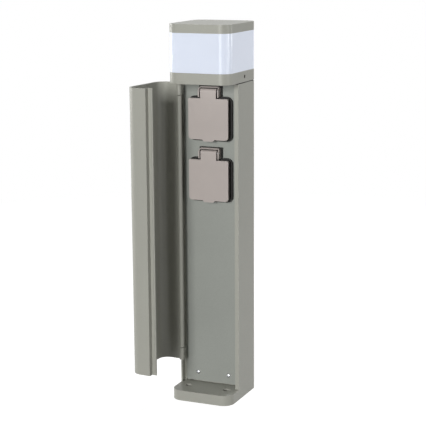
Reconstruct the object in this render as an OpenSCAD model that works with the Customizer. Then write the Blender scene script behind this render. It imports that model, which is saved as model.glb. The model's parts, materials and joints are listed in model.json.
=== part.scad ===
// Garden lamp post with two lidded mains sockets behind a swinging door.
// Origin: middle of the footprint on the ground. X to the right, Y to the back, Z up.
// The door is drawn standing open, as the post is used while something is plugged in.

/* [Post] */
// Width of the post, across the front
post_w = 78; // [76:1:90]
// Depth of the post, front to back
post_d = 88; // [84:1:104]
// Height of the post
post_h = 450; // [430:5:700]
// Radius of the upright corners
corner_r = 13.5; // [12.5:0.25:14]

/* [Base plate] */
// Thickness of the base plate
base_t = 12.5; // [11:0.5:20]
// Width of the rim under the base plate
base_rim = 3.5; // [2:0.5:5]
// Thickness of the base plate's top skin
base_skin = 4; // [3:0.5:6]
// Diameter of the ground anchor holes
anchor_d = 8; // [5:0.5:8.5]
// Distance of the anchor holes from the sides
anchor_side = 14; // [12:0.5:16]
// Distance of the front anchor holes from the front edge
anchor_front = 23; // [18:1:26]
// Distance of the rear anchor holes from the back edge
anchor_back = 21; // [19:0.5:22]
// Thickness of the ribs under the base plate
base_rib = 3; // [2:0.5:5]
// Wall of the bosses round the anchor holes
anchor_boss_wall = 2; // [1.5:0.25:2.25]
// Diameter of the supply cable's way through its grommet
cable_d = 11; // [7:0.5:13]

/* [Column] */
// Wall of the column extrusion
column_wall = 2; // [1.5:0.1:2.5]
// Distance of the column's front lip from the front edge
column_front = 28.5; // [26:0.5:30]
// Width of the lip down the column's right front
lip_w = 5; // [3:0.5:6]
// Distance of the socket panel from the front edge
panel_inset = 41; // [40:0.5:43]
// Thickness of the socket panel
panel_t = 2; // [1.5:0.25:3]
// Gap under the socket panel
panel_lift = 1.2; // [1:0.1:4]
// Side clearance of the socket panel in the column
panel_fit = 0.2; // [0.1:0.05:0.4]
// Width of the rails behind the socket panel
rail_w = 5; // [4:0.5:6]
// Thickness of the rails behind the socket panel
rail_t = 2; // [1.2:0.2:2.4]
// Width of the small rails in front of the socket panel
front_rail_w = 1.5; // [1:0.25:2]
// Diameter of the screw ports in the column
port_d = 7.6; // [6.6:0.2:8]
// Diameter of the screws in the ports
port_screw_d = 3.2; // [2.8:0.1:3.6]

/* [Door] */
// Wall of the door extrusion
door_wall = 2; // [1.5:0.1:2.5]
// Cable gap between the base plate and the closed door
door_lift = 30; // [20:1:45]
// Gap between the closed door and the lamp head
door_head_gap = 1; // [0.6:0.1:2]
// Angle that the door stands open, from closed
door_open = 94.4; // [70:0.2:94.4]
// Diameter of the hinge barrel
hinge_d = 6; // [5:0.25:6.5]
// Distance of the hinge axis from the front edge
hinge_front = 28; // [27.5:0.25:29]
// Diameter of the hinge pins
hinge_pin_d = 3; // [2:0.25:3.5]
// Length of the hinge pin that runs in the door
hinge_pin_run = 14; // [8:1:30]
// Height of each fixed knuckle
knuckle_h = 15.5; // [14:0.5:25]
// Gap between the closed door's free edge and the column's lip
door_lip_gap = 2; // [1:0.25:3]
// Length of the tongue along the door's free edge
tongue_l = 5.6; // [3:0.2:6]
// Thickness of that tongue
tongue_t = 1.4; // [1:0.1:1.8]
// Gap between the tongue and the column's lip
tongue_gap = 1; // [0.8:0.1:1.5]

/* [Lamp head] */
// Height of the ring under the diffuser
ring_h = 13; // [12.5:0.5:18]
// Height of the opal diffuser
diffuser_h = 45.5; // [30:0.5:80]
// Height of the top cap
cap_h = 10; // [9:0.5:16]
// Wall of the diffuser
diffuser_wall = 3; // [2:0.25:3.5]
// Wall of the ring
ring_wall = 3.5; // [3:0.25:4]
// Thickness of the gasket between column and ring
column_gasket_t = 1; // [0.6:0.1:2]
// Thickness of the carrier plate inside the ring
carrier_t = 3; // [2:0.25:3.5]
// Diameter of the grub screws that lock the ring
grub_d = 4; // [3:0.5:5]
// Diameter of the tie screws from ring to cap
tie_d = 3.8; // [3:0.2:4.2]
// Gap between the lamp board and the head's opening, left and right
board_side = 6.5; // [6:0.5:11]
// Gap between the lamp board and the head's opening, front and back
board_end = 4.5; // [3.5:0.5:11]

/* [Sockets] */
// Gap between the column's top and the upper socket's flange
socket_top_gap = 3.5; // [2.5:0.1:60]
// Gap between the upper socket's lid and the lower socket's hood
socket_gap = 8; // [3:0.5:60]
// Reach of the flange past the lid, left and right
flange_side = 2.25; // [0.75:0.25:2.5]
// Reach of the flange past the lid, above and below
flange_over = 2.1; // [0.7:0.1:2.3]
// Corner radius of the flange
flange_r = 7; // [3:0.5:8]
// Thickness of the flange
flange_t = 2.5; // [1.5:0.25:3]
// Thickness of the gasket under the flange
socket_gasket_t = 1; // [0.5:0.1:1.2]
// Distance of the lid's front face from the socket panel
lid_front = 10.8; // [10.5:0.1:13]
// Reach of the lid past the plug's pot, left and right
lid_side = 4.25; // [4:0.25:5.5]
// Reach of the lid past the plug's pot, above and below
lid_over = 3.2; // [2.8:0.1:4]
// Depth of the lid's rim
lid_depth = 3.5; // [2.5:0.1:4]
// Wall of the lid
lid_wall = 1.5; // [1.2:0.1:1.6]
// Thickness of the rubber seal inside the lid
lid_seal_t = 0.6; // [0.4:0.1:0.8]
// Gap between the lid's seal and the collar
lid_seal_gap = 0.3; // [0.2:0.05:0.5]
// Gap between the lid's rim and the collar
collar_gap = 0.5; // [0.3:0.1:0.8]
// Width of the hinge tab on the lid
tab_w = 20; // [14:0.5:22]
// Height of the lid's hinge axis above the lid
hinge_rise = 8.4; // [7:0.1:9]
// Radius of the hinge tab's barrel
tab_r = 3.2; // [2.8:0.1:3.5]
// Diameter of the lid's hinge pin
lid_pin_d = 1.8; // [1.4:0.1:2]
// Clearance beside the hinge tab
tab_gap = 1.6; // [0.6:0.1:2]
// Wall of the hood round the hinge tab
hood_wall = 1.5; // [1:0.1:2]
// Slope of the hood's front towards its top
hood_slope = 4; // [1:0.25:4.5]
// Width of the thumb tab under the lid
thumb_w = 15.5; // [10:0.5:20]
// Height of the thumb tab under the lid
thumb_h = 2.1; // [1.5:0.1:4]
// Diameter of the recess that a plug goes into
recess_d = 39; // [38.5:0.25:40]
// Depth of that recess
recess_depth = 17.5; // [15:0.5:20]
// Wall of the round pot
pot_wall = 1.5; // [1.2:0.1:1.6]
// Distance between the two pin holes
pin_spacing = 19; // [18.5:0.25:19.5]
// Diameter of the pin holes
pin_hole_d = 5.6; // [5:0.1:5.8]
// Travel of the shutter behind the pin holes
shutter_travel = 6.2; // [6.1:0.05:6.4]

/* [Hidden] */
$fn = 64;

// Colours
lacquer = [0.64, 0.64, 0.60];
panel_grey = [0.55, 0.58, 0.56];
taupe = [0.69, 0.65, 0.62];
socket_black = [0.09, 0.09, 0.08];
rubber_black = [0.06, 0.06, 0.06];
opal = [0.86, 0.89, 0.94];
steel = [0.75, 0.76, 0.78];
brass = [0.80, 0.66, 0.36];
light_grey = [0.80, 0.80, 0.78];
board_white = [0.92, 0.93, 0.92];
wire_brown = [0.36, 0.21, 0.12];
wire_blue = [0.20, 0.36, 0.66];
wire_green = [0.45, 0.60, 0.22];

// Planes of the post
front_y = -post_d / 2;
side_x = post_w / 2;
column_y = front_y + column_front;
panel_y = front_y + panel_inset;
panel_back_y = panel_y + panel_t;
inner_x = side_x - column_wall;
ring_z = post_h - cap_h - diffuser_h - ring_h;
column_top = ring_z - column_gasket_t;
diffuser_z = ring_z + ring_h;
cap_z = diffuser_z + diffuser_h;
cut = 0.5;

// Rails beside the socket panel, which reach a little into the column's wall
rail_root = 0.1;
front_rail_t = 1.2;
front_rail_gap = 0.1;

// Door hinge: the barrel lies just inside the post's left side
barrel_inset = 0.1;
hinge_r = hinge_d / 2;
hinge_x = -side_x + hinge_r + barrel_inset;
hinge_y = front_y + hinge_front;
stop_gap = 0.8;
left_wall_y = hinge_y + hinge_r + barrel_inset + stop_gap;
knuckle_gap = 0.8;
door_cut_r = hinge_r + 0.4;
pin_running_fit = 0.05;
door_z0 = base_t + door_lift;
door_z1 = ring_z - door_head_gap;
barrel_z0 = door_z0 + knuckle_h;
barrel_z1 = door_z1 - knuckle_h;
door_end_y = column_y - door_lip_gap;
door_return_t = 1.8;
tongue_x = side_x - lip_w - tongue_gap;
bead_r = 0.7;
bead_out = 0.5;
tongue_groove_r = 0.4;
knuckle_web_left = 1.1;
knuckle_web_right = 1.5;
leaf_t = 1.5;
leaf_end_gap = 0.8;
leaf_l = panel_y - front_rail_gap - front_rail_t - leaf_end_gap - left_wall_y + cut;
knuckle_screw_r = 1.2;
knuckle_screw_head_r = 2;
knuckle_screw_head_h = 1;

// Screw ports of the column: a pair in the rear corners and a pair at the sides
rear_port_inset = 9.5;
side_port_inset = 8.5;
side_port_back = 30;
port_x = [side_x - rear_port_inset, side_x - side_port_inset];
port_y = [post_d / 2 - rear_port_inset, post_d / 2 - side_port_back];
port_web = 3;
port_web_l = 12;
port_screw_r = port_screw_d / 2;
port_hole_r = port_screw_r + 0.1;
port_screw_reach = 18;
screw_hole_play = 0.3;
port_head_r = 3.3;
port_head_h = 2.4;
column_gasket_inset = 0.8;

// Base plate and what stands on it
anchor_x = side_x - anchor_side;
anchor_y = [front_y + anchor_front, post_d / 2 - anchor_back];
grommet_wall = 2.5;
grommet_lip = 2;
grommet_lip_w = 1.5;
grommet_boss_wall = 2;
grommet_r = cable_d / 2 + grommet_wall;
bracket_side_gap = 0.7;
bracket_w = 2 * (port_x[1] - port_d / 2 - bracket_side_gap);
bracket_t = 2;
bracket_h = 50;
foot_l = 9;
grommet_y = (panel_back_y + bracket_t + foot_l + post_d / 2 - column_wall) / 2;
pan_head_h = 1.6;
panel_screw_x = 20;
panel_screw_rise = 12;
panel_screw_r = 1.6;
panel_screw_head_r = 2.5;
bracket_screw_r = 1.5;
bracket_screw_head_r = 2.6;
terminal_w = 44;
terminal_h = 18;
terminal_l = 14;
terminal_z = base_t + 28;
pole_pitch = 14;
pole_slit = 1.2;
terminal_hole_r = 2.2;
terminal_screw_l = 4;
stud_x = 14;
stud_y = post_d / 2 - 11;
stud_r = 2.5;
stud_h = 12;
lug_r = 4.6;
lug_t = 3;
lug_reach = 11;
lug_barrel_r = 1.8;
lug_z = base_t + 2;
lug_bore_l = 4;
nut_h = 4;

// Lamp head
spigot_fit = 0.3;
spigot_wall = 2;
spigot_h = 4;
seal_h = 2;
seal_depth = 1;
seal_inset = 1;
head_flange_t = 3;
head_opening_w = post_w - 25;
head_opening_d = post_d - 25;
tie_x = side_x - 10.7;
tie_y = post_d / 2 - 10.7;
tie_r = tie_d / 2;
tie_head_r = 3.5;
tie_head_h = 2.4;
tie_tip = 2;
cap_skin = 3;
cap_boss_r = 4.3;
cap_hole_tip = 1;
carrier_fit = 0.3;
carrier_z = ring_z;
carrier_top = carrier_z + carrier_t;
carrier_w = post_w - 2 * ring_wall - 2 * carrier_fit;
carrier_d = post_d - 2 * ring_wall - 2 * carrier_fit;
carrier_r = corner_r - ring_wall - carrier_fit;
flange_z = diffuser_z - head_flange_t;
grub_z = ring_z + ring_h / 2;
grub_y = 4.4;
grub_sunk = 1.4;
grub_hex_r = 1.1;
grub_hex_depth = 1.2;
carrier_ear_l = 8;
carrier_ear_t = 4;
board_w = head_opening_w - 2 * board_side;
board_l = head_opening_d - 2 * board_end;
board_t = 1.6;
board_screw_r = 1.2;
board_screw_head_r = 2.2;
board_screw_inset = 4;
small_head_h = 1.3;
chip_w = 2.8;
chip_l = 3.5;
chip_h = 0.7;
chip_pitch = 9.5;
driver_ear = 6;
driver_side_gap = 0.7;
driver_w = 2 * (port_x[1] - port_d / 2 - driver_ear - driver_side_gap);
driver_gap = 8;
driver_y = panel_back_y + driver_gap;
driver_back_gap = 11;
driver_l = post_d / 2 - column_wall - driver_back_gap - driver_y;
driver_h = 18;
driver_feed_inset = 10.5;
driver_ear_l = 12;
driver_ear_t = 2;
driver_screw_r = 1.3;
driver_screw_head_r = 2.3;
lead_r = 0.7;
lead_hole_r = 2.4;
lead_back_gap = 7.5;
lead_y = post_d / 2 - column_wall - lead_back_gap;

// Socket, in its own place: Y 0 is the panel's face, minus Y is towards the user
recess_r = recess_d / 2;
pot_r = recess_r + pot_wall;
lid_w = 2 * (pot_r + lid_side);
lid_h = 2 * (pot_r + lid_over);
flange_w = lid_w + 2 * flange_side;
flange_h = lid_h + 2 * flange_over;
flange_y = -socket_gasket_t - flange_t;
collar_y = -(lid_front - lid_wall - lid_seal_t - lid_seal_gap);
collar_w = lid_w - 2 * lid_wall - 2 * collar_gap;
collar_h = lid_h - 2 * lid_wall - 2 * collar_gap;
collar_r = 5;
pot_floor_t = 2;
pot_floor_y = collar_y + recess_depth;
pot_back_y = pot_floor_y + pot_floor_t;
panel_hole_r = pot_r + 0.5;
shutter_t = 2;
shutter_fit = 0.3;
shutter_hh = 4.6;
shutter_hw = 12.6;
shutter_space = shutter_t + 2 * shutter_fit;
shutter_hole_r = pin_hole_d / 2 + 0.2;
shutter_spring_r = 1;
shutter_spring_wall = 0.35;
shutter_spring_x = 8;
chamber_end_x = shutter_hw + shutter_travel + 0.4;
drum_r = recess_r + 1;
drum_t = 4.4;
housing_w = 28;
housing_h = 26;
housing_l = 12.5;
housing_r = 3;
housing_end = 2;
housing_y = pot_back_y + drum_t;
sleeve_r = 3.3;
sleeve_wall = 0.8;
sleeve_l = 11;
sleeve_end = 1;
clip_w = 6;
clip_t = 0.7;
clip_z = recess_r + 0.1;
clip_setback = 3;
clip_window = 0.6;
socket_screw_r = 1.5;
socket_screw_head_r = 2.6;
socket_screw_sunk = 2;
socket_screw_play = 0.2;
socket_screw_x = collar_w / 2 - 4.7;
socket_screw_z = collar_h / 2 - 4.7;
lid_pin_r = lid_pin_d / 2;
lid_pin_y = -lid_front + tab_r;
lid_pin_z = lid_h / 2 + hinge_rise;
tab_t = 1.8;
spring_gap_w = 3.5;
spring_hw = 3;
spring_in_r = lid_pin_r + 0.05;
spring_out_r = lid_pin_r + 0.5;
spring_pocket_r = lid_pin_r + 0.85;
spring_leg_r = 0.25;
hood_in_hw = tab_w / 2 + tab_gap;
hood_hw = hood_in_hw + hood_wall;
hood_in_top = lid_pin_z + tab_r + 0.9;
hood_top = hood_in_top + hood_wall;
hood_bottom = lid_h / 2 + 1.5;
hood_front_y = -lid_front + 0.2;
hood_chamfer = 2;
hood_in_chamfer = 0.75;
hood_slope_h = 4.5;
thumb_slope = 2.2;
backing_hw = hood_hw + 1.2;
backing_top = hood_top + 0.6;
socket_pitch = hood_top + lid_h / 2 + thumb_h + socket_gap;
upper_socket_z = column_top - socket_top_gap - backing_top;
socket_z = [upper_socket_z, upper_socket_z - socket_pitch];
lid_top_r = 2;
lid_low_r = 4.2;
lid_seal_inset = 0.3;
lid_seal_w = 2;

// Wires: each is a list of points chosen by hand, from one terminal to the next
wire_r = 1.1;
wire_play = 0.1;
wire_sides = 8;
wire_steps = 4;
wire_inset = 5;
wire_straight = 8;
wire_bend = 40;
wire_bow = 8;
wire_y = panel_y + pot_back_y + drum_t + wire_inset;
wire_x = 9.5;
block_top = terminal_z + terminal_h;
block_y = panel_back_y + bracket_t + terminal_l / 2;
driver_z = carrier_z - driver_h;

// A rectangle with round corners
module rounded(w, d, r) {
  square([w - 2 * r, d], center = true);
  square([w, d - 2 * r], center = true);
  for (sx = [-1, 1], sy = [-1, 1])
    translate([sx * (w / 2 - r), sy * (d / 2 - r)]) circle(r);
}

// The post's outline, drawn in by a distance
module outline(inset) {
  rounded(post_w - 2 * inset, post_d - 2 * inset, corner_r - inset);
}

// A slab standing upright, from y to y + t, whose sketch lies in X and Z
module upright(y, t) {
  translate([0, y + t, 0]) rotate([90, 0, 0]) linear_extrude(t) children();
}

// A round bar along Y, from y0 to y1
module bar_y(x, y0, y1, z, r) {
  translate([x, y1, z]) rotate([90, 0, 0]) cylinder(h = y1 - y0, r = r);
}

// A round bar along X, from x0 to x1
module bar_x(x0, x1, y, z, r) {
  translate([x0, y, z]) rotate([0, 90, 0]) cylinder(h = x1 - x0, r = r);
}

module each_port() {
  for (i = [0, 1], s = [-1, 1]) translate([s * port_x[i], port_y[i], 0]) children();
}

module each_anchor() {
  for (s = [-1, 1], y = anchor_y) translate([s * anchor_x, y, 0]) children();
}

module each_tie() {
  for (sx = [-1, 1], sy = [-1, 1]) translate([sx * tie_x, sy * tie_y, 0]) children();
}

module each_board_screw() {
  for (sx = [-1, 1], sy = [-1, 1])
    translate([sx * (board_w / 2 - board_screw_inset), sy * (board_l / 2 - board_screw_inset), 0])
      children();
}

module each_driver_screw() {
  for (s = [-1, 1])
    translate([s * (driver_w + driver_ear) / 2, driver_y + driver_l / 2, 0]) children();
}

// A screw that points up from z, its head below
module screw_up(r, length, head_r, head_h) {
  cylinder(h = length, r = r);
  translate([0, 0, -head_h]) cylinder(h = head_h, r = head_r);
}

// A screw that points down from z, its head above, with a cross recess
module screw_down(r, length, head_r, head_h) {
  translate([0, 0, -length]) cylinder(h = length, r = r);
  difference() {
    cylinder(h = head_h, r = head_r);
    for (a = [0, 90])
      rotate([0, 0, a]) translate([-head_r * 0.6, -head_r * 0.12, head_h * 0.4])
        cube([head_r * 1.2, head_r * 0.24, head_h]);
  }
}

// Base plate: a casting with a rim, a skin and bosses
module base_plate() {
  color(lacquer) difference() {
    union() {
      difference() {
        linear_extrude(base_t) outline(0);
        translate([0, 0, -cut]) linear_extrude(base_t - base_skin + cut) outline(base_rim);
      }
      each_anchor() cylinder(h = base_t, r = anchor_d / 2 + anchor_boss_wall);
      translate([0, grommet_y, 0]) cylinder(h = base_t, r = grommet_r + grommet_boss_wall);
      for (y = [0, grommet_y])
        translate([-side_x + base_rim / 2, y - base_rib / 2, 0])
          cube([post_w - base_rim, base_rib, base_t]);
      translate([-base_rib / 2, front_y + base_rim / 2, 0])
        cube([base_rib, post_d - base_rim, base_t]);
    }
    each_anchor() translate([0, 0, -cut]) cylinder(h = base_t + 2 * cut, r = anchor_d / 2);
    translate([0, grommet_y, -cut]) cylinder(h = base_t + 2 * cut, r = grommet_r);
    each_port() cylinder(h = base_t + cut, r = port_screw_r + screw_hole_play);
    each_port() translate([0, 0, -cut])
      cylinder(h = base_t - base_skin + cut, r = port_head_r + screw_hole_play);
    for (s = [-1, 1])
      translate([s * panel_screw_x, panel_back_y + bracket_t + foot_l / 2, 0])
        cylinder(h = base_t + cut, r = bracket_screw_r);
    translate([stud_x, stud_y, 0]) cylinder(h = base_t + cut, r = stud_r);
  }
}

module cable_grommet() {
  color(rubber_black) translate([0, grommet_y, 0]) difference() {
    union() {
      cylinder(h = base_t + grommet_lip, r = grommet_r);
      translate([0, 0, base_t]) cylinder(h = grommet_lip, r = grommet_r + grommet_lip_w);
    }
    translate([0, 0, -cut]) cylinder(h = base_t + grommet_lip + 2 * cut, r = cable_d / 2);
  }
}

module base_screws() {
  color(steel) each_port() translate([0, 0, base_t - base_skin])
    screw_up(port_screw_r, base_skin + port_screw_reach, port_head_r, port_head_h);
}

// The column's wall in plan: the back and sides, with a lip down the right front
module column_wall_plan(inset) {
  difference() {
    intersection() {
      outline(inset);
      union() {
        translate([-side_x, left_wall_y + inset]) square([side_x, post_d]);
        translate([0, column_y + inset]) square([side_x, post_d]);
      }
    }
    difference() {
      outline(column_wall);
      translate([side_x - lip_w, column_y]) square([lip_w, column_wall]);
    }
  }
}

module column() {
  color(lacquer) translate([0, 0, base_t]) linear_extrude(column_top - base_t) difference() {
    union() {
      column_wall_plan(0);
      for (s = [-1, 1]) {
        translate([s * (inner_x - rail_w / 2), panel_back_y + rail_t / 2])
          square([rail_w + 2 * rail_root, rail_t], center = true);
        translate([s * (inner_x - front_rail_w / 2), panel_y - front_rail_gap - front_rail_t / 2])
          square([front_rail_w + 2 * rail_root, front_rail_t], center = true);
        intersection() {
          outline(column_wall / 2);
          translate([s * port_x[0], port_y[0]]) rotate(45 * s)
            translate([s > 0 ? 0 : -port_web_l, -port_web / 2]) square([port_web_l, port_web]);
        }
        translate([s * (port_x[1] + inner_x) / 2, port_y[1]])
          square([inner_x - port_x[1] + 2 * rail_root, port_web], center = true);
      }
      each_port() circle(port_d / 2);
    }
    each_port() circle(port_hole_r);
  }
}

module column_gasket() {
  color(rubber_black) translate([0, 0, column_top])
    linear_extrude(column_gasket_t) column_wall_plan(column_gasket_inset);
}

// Flat panel behind the door, with a round hole for each socket
module socket_panel() {
  panel_z0 = base_t + panel_lift;
  panel_z1 = column_top - panel_fit;
  color(panel_grey) difference() {
    translate([-inner_x + panel_fit, panel_y, panel_z0])
      cube([2 * (inner_x - panel_fit), panel_t, panel_z1 - panel_z0]);
    for (z = socket_z) {
      bar_y(0, panel_y - cut, panel_back_y + cut, z, panel_hole_r);
      for (sx = [-1, 1], sz = [-1, 1])
        bar_y(sx * socket_screw_x, panel_y - cut, panel_back_y + cut,
              z + sz * socket_screw_z, socket_screw_r);
    }
    for (s = [-1, 1])
      bar_y(s * panel_screw_x, panel_y - cut, panel_back_y + cut,
            base_t + panel_screw_rise, panel_screw_r + screw_hole_play);
  }
}

module panel_screws() {
  color(steel) for (s = [-1, 1])
    translate([s * panel_screw_x, panel_y, base_t + panel_screw_rise]) rotate([90, 0, 0])
      screw_down(panel_screw_r, panel_t + bracket_t + 1, panel_screw_head_r, pan_head_h);
}

// Angle bracket behind the panel's foot, which also carries the terminals
module panel_bracket() {
  color(lacquer) difference() {
    translate([-bracket_w / 2, panel_back_y, base_t]) union() {
      cube([bracket_w, bracket_t, bracket_h]);
      translate([0, bracket_t, 0]) cube([bracket_w, foot_l, bracket_t]);
    }
    for (s = [-1, 1]) {
      bar_y(s * panel_screw_x, panel_back_y - cut, panel_back_y + bracket_t + cut,
            base_t + panel_screw_rise, panel_screw_r);
      translate([s * panel_screw_x, panel_back_y + bracket_t + foot_l / 2, base_t - cut])
        cylinder(h = bracket_t + 2 * cut, r = bracket_screw_r);
    }
  }
}

module bracket_screws() {
  color(steel) for (s = [-1, 1])
    translate([s * panel_screw_x, panel_back_y + bracket_t + foot_l / 2, base_t + bracket_t])
      screw_down(bracket_screw_r, bracket_t + base_skin - cut, bracket_screw_head_r, pan_head_h);
}

module terminal_block() {
  color(light_grey) difference() {
    translate([-terminal_w / 2, panel_back_y + bracket_t, terminal_z])
      cube([terminal_w, terminal_l, terminal_h]);
    for (p = [-1, 0, 1])
      bar_y(p * pole_pitch, block_y, block_y + terminal_l, terminal_z + terminal_h / 2, terminal_hole_r);
    for (p = [-0.5, 0.5])
      translate([p * pole_pitch - pole_slit / 2, block_y, terminal_z - cut])
        cube([pole_slit, terminal_l, terminal_h + 2 * cut]);
  }
}

module terminal_screws() {
  color(brass) for (p = [-1, 0, 1])
    bar_y(p * pole_pitch, block_y, block_y + terminal_screw_l, terminal_z + terminal_h / 2,
          terminal_hole_r);
}

// Earth stud with its ring lug and nut
module earth_terminal() {
  color(brass) translate([stud_x, stud_y, 0]) {
    translate([0, 0, base_t - base_skin]) cylinder(h = base_skin + stud_h, r = stud_r);
    difference() {
      union() {
        translate([0, 0, base_t]) cylinder(h = lug_t, r = lug_r);
        bar_y(0, -lug_reach, -stud_r, lug_z, lug_barrel_r);
      }
      cylinder(h = base_t + stud_h, r = stud_r);
      bar_y(0, -lug_reach - cut, -lug_reach + lug_bore_l, lug_z, wire_r + wire_play);
    }
    translate([0, 0, base_t + lug_t]) difference() {
      cylinder(h = nut_h, r = lug_r, $fn = 6);
      translate([0, 0, -cut]) cylinder(h = nut_h + 2 * cut, r = stud_r);
    }
  }
}

// Smooth line through a list of points
function between(a, b, c, d, t) =
  0.5 * (2 * b + (c - a) * t + (2 * a - 5 * b + 4 * c - d) * t * t
    + (3 * b - a - 3 * c + d) * t * t * t);
function smooth(p) = concat([for (i = [0:len(p) - 2], k = [0:wire_steps - 1])
  between(p[max(i - 1, 0)], p[i], p[i + 1], p[min(i + 2, len(p) - 1)], k / wire_steps)],
  [p[len(p) - 1]]);
function unit(v) = v / norm(v);
function along(c, i) = unit(c[i + 1] - c[i - 1]);

// A wire: rings of points round the smooth line, joined by triangles, its ends square
module wire(points, r) {
  c = smooth(points);
  n = len(c);
  m = wire_sides;
  last = len(points) - 1;
  rings = [for (i = [0:n - 1])
    let (t = i == 0 ? unit(points[1] - points[0])
           : i == n - 1 ? unit(points[last] - points[last - 1]) : along(c, i),
         u = unit(cross(t, [1, 0, 0])), v = cross(t, u))
    for (k = [0:m - 1]) c[i] + r * (cos(360 * k / m) * u + sin(360 * k / m) * v)];
  sides = [for (i = [0:n - 2], k = [0:m - 1])
    let (a = i * m + k, b = i * m + (k + 1) % m) each [[a, b, b + m], [a, b + m, a + m]]];
  ends = [for (k = [1:m - 2]) each [[0, k + 1, k],
    [(n - 1) * m, (n - 1) * m + k, (n - 1) * m + k + 1]]];
  polyhedron(points = rings, faces = concat([for (f = sides) [f[0], f[2], f[1]]],
    [for (f = ends) [f[0], f[2], f[1]]]));
}

// One conductor: terminal block to lower socket, then up to the upper socket
module conductor(block_x, x) {
  low = socket_z[1] - housing_h / 2;
  mid = socket_z[1] + housing_h / 2;
  top = socket_z[0] - housing_h / 2;
  wire([[block_x, block_y, block_top], [block_x, block_y, block_top + wire_straight],
    [block_x, (block_y + wire_y) / 2, block_top + wire_bend],
    [x, wire_y + wire_bow, (block_top + low) / 2],
    [x, wire_y + wire_bow / 2, low - wire_bend], [x, wire_y, low - wire_straight],
    [x, wire_y, low]], wire_r);
  wire([[x, wire_y, mid], [x, wire_y, mid + wire_straight],
    [x, wire_y + wire_bow / 2, (mid + top) / 2],
    [x, wire_y, top - wire_straight], [x, wire_y, top]], wire_r);
}

// From the upper socket to the lamp driver
module driver_feed_wire(x) {
  low = socket_z[0] + housing_h / 2;
  feed_y = driver_y + driver_feed_inset;
  straight = (driver_z - low) / 4;
  wire([[x, wire_y, low], [x, wire_y, low + straight],
    [x, feed_y, driver_z - straight], [x, feed_y, driver_z]], wire_r);
}

module live_wires() {
  color(wire_brown) {
    conductor(-pole_pitch, -wire_x);
    driver_feed_wire(-wire_x);
  }
}

module neutral_wires() {
  color(wire_blue) {
    conductor(pole_pitch, wire_x);
    driver_feed_wire(wire_x);
  }
}

module earth_wires() {
  lug_end = stud_y - lug_reach;
  color(wire_green) {
    conductor(0, 0);
    wire([[0, block_y, terminal_z], [0, block_y, terminal_z - wire_straight],
      [stud_x / 2, block_y + 2, terminal_z - 2 * wire_straight], [stud_x, lug_end - 3.5, lug_z + 1.5],
      [stud_x, lug_end, lug_z], [stud_x, lug_end + lug_bore_l, lug_z]], wire_r);
  }
}

// Fixed knuckle with its leaf, which lies against the column's left wall
module knuckle(z) {
  color(lacquer) difference() {
    union() {
      translate([hinge_x, hinge_y, z]) cylinder(h = knuckle_h - knuckle_gap, r = hinge_r);
      translate([hinge_x - knuckle_web_left, hinge_y, z])
        cube([knuckle_web_left + knuckle_web_right, left_wall_y - hinge_y, knuckle_h - knuckle_gap]);
      translate([-inner_x, left_wall_y - cut, z])
        cube([leaf_t, leaf_l, knuckle_h - knuckle_gap]);
    }
    translate([hinge_x, hinge_y, z - cut]) cylinder(h = knuckle_h + 2 * cut, r = hinge_pin_d / 2);
    each_leaf_screw(z) bar_x(-cut, leaf_t + cut, 0, 0, knuckle_screw_r);
  }
}

module each_leaf_screw(z) {
  for (k = [0.25, 0.75])
    translate([-inner_x, left_wall_y + leaf_l * 0.5, z + (knuckle_h - knuckle_gap) * k]) children();
}

module top_knuckle() {
  knuckle(barrel_z1 + knuckle_gap);
}

module bottom_knuckle() {
  knuckle(door_z0);
}

module knuckle_screws() {
  color(steel) for (z = [door_z0, barrel_z1 + knuckle_gap])
    each_leaf_screw(z) translate([leaf_t, 0, 0]) rotate([0, 90, 0])
      screw_down(knuckle_screw_r, leaf_t, knuckle_screw_head_r, knuckle_screw_head_h);
}

module hinge_pins() {
  color(steel) translate([hinge_x, hinge_y, 0]) for (z = [door_z0, barrel_z1 - hinge_pin_run])
    translate([0, 0, z]) cylinder(h = knuckle_h + hinge_pin_run, r = hinge_pin_d / 2);
}

// Door extrusion in plan, drawn closed
module door_plan() {
  bead_y = door_end_y + tongue_l - bead_r;
  difference() {
    union() {
      difference() {
        intersection() {
          outline(0);
          union() {
            translate([-side_x, front_y]) square([side_x, hinge_front]);
            translate([0, front_y]) square([side_x, door_end_y - front_y]);
          }
        }
        outline(door_wall);
      }
      translate([hinge_x, hinge_y]) circle(hinge_r);
      translate([tongue_x - tongue_t, door_end_y - door_return_t])
        square([side_x - tongue_x + tongue_t - door_wall / 2, door_return_t]);
      translate([tongue_x - tongue_t, door_end_y - door_return_t])
        square([tongue_t, tongue_l + door_return_t]);
      translate([tongue_x - bead_r + bead_out, bead_y]) circle(bead_r);
    }
    translate([hinge_x, hinge_y]) circle(hinge_pin_d / 2 + pin_running_fit);
    translate([tongue_x, bead_y - bead_r - tongue_groove_r / 2]) circle(tongue_groove_r);
  }
}

module door() {
  color(lacquer) translate([hinge_x, hinge_y, 0]) rotate([0, 0, -door_open])
    translate([-hinge_x, -hinge_y, 0]) difference() {
      translate([0, 0, door_z0]) linear_extrude(door_z1 - door_z0) door_plan();
      for (z = [door_z0 - cut, barrel_z1])
        translate([hinge_x, hinge_y, z]) cylinder(h = knuckle_h + cut, r = door_cut_r);
    }
}

// Upright collar that locates the diffuser, with a groove for its seal
module spigot(z, groove_z) {
  in = diffuser_wall + spigot_fit;
  difference() {
    translate([0, 0, z]) linear_extrude(spigot_h) outline(in);
    translate([0, 0, z - cut]) linear_extrude(spigot_h + 2 * cut) outline(in + spigot_wall);
    translate([0, 0, groove_z]) linear_extrude(seal_h) difference() {
      outline(in - cut);
      outline(in + seal_depth);
    }
  }
}

module seal(z) {
  color(rubber_black) translate([0, 0, z]) linear_extrude(seal_h) difference() {
    outline(diffuser_wall);
    outline(diffuser_wall + spigot_fit + seal_depth);
  }
}

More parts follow.
